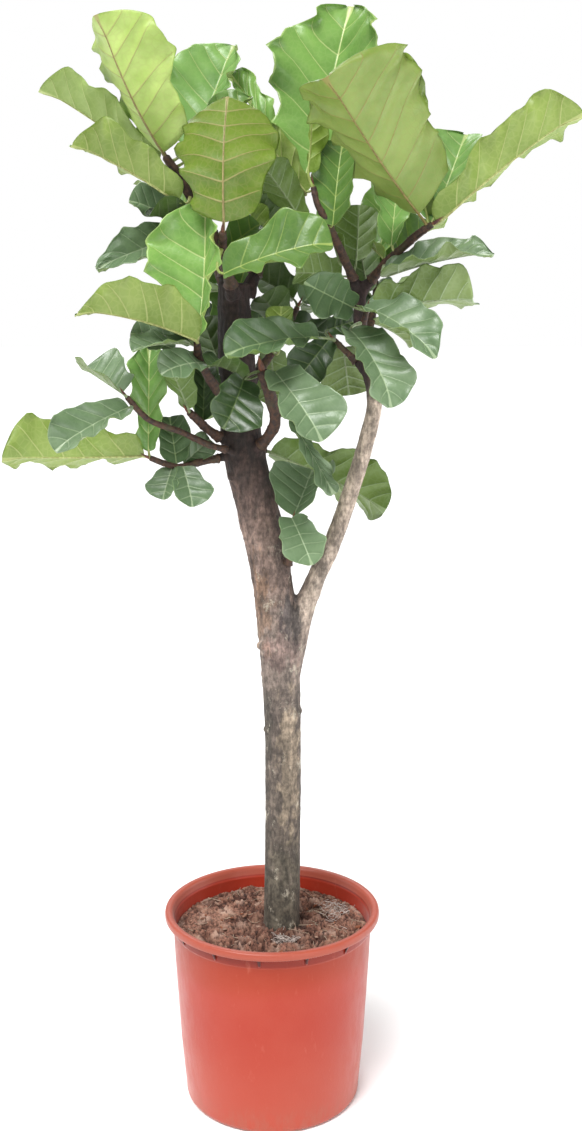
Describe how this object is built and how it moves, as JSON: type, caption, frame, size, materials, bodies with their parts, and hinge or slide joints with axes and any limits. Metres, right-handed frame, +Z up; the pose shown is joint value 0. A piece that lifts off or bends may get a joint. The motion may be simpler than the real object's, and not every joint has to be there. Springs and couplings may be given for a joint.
{
  "type": "potted fiddle leaf fig",
  "caption": "Tree-form fiddle leaf fig with a bare forked trunk and a crown of broad waved leaves, in soil in a round ribbed nursery pot.",
  "frame": {"origin": "centre of the pot's underside", "axes": "+Z up along the pot's axis, -Y the side that faces the viewer, +X to the viewer's right"},
  "size_m": [0.8021, 0.4677, 1.6944],
  "materials": {
    "pot_plastic": "satin terracotta-orange plastic",
    "soil": "rough coir and bark",
    "bark": "matt grey-brown bark with tan patches",
    "leaf": "semi-gloss dark green leaf",
    "leaf_young": "glossy yellow-green leaf"
  },
  "bodies": {
    "root": {"pot": "pot_plastic", "soil": "soil", "trunk": "bark", "stem_top_left": "leaf_young", "stem_left": "leaf_young", "stem_front": "leaf_young", "stem_centre": "leaf_young", "stem_right_inner": "leaf", "stem_right_outer": "leaf_young", "stem_right_side": "leaf", "stem_right_low": "leaf", "stem_trunk_front": "leaf", "stem_fork": "leaf", "stem_trunk_right": "leaf", "stem_low_left_upper": "leaf", "stem_low_left": "leaf", "stem_low_left_short": "leaf", "stem_inner": "leaf", "stem_back_top": "leaf", "stem_back_low": "leaf", "stem_back_right": "leaf"}
  },
  "joints": []
}
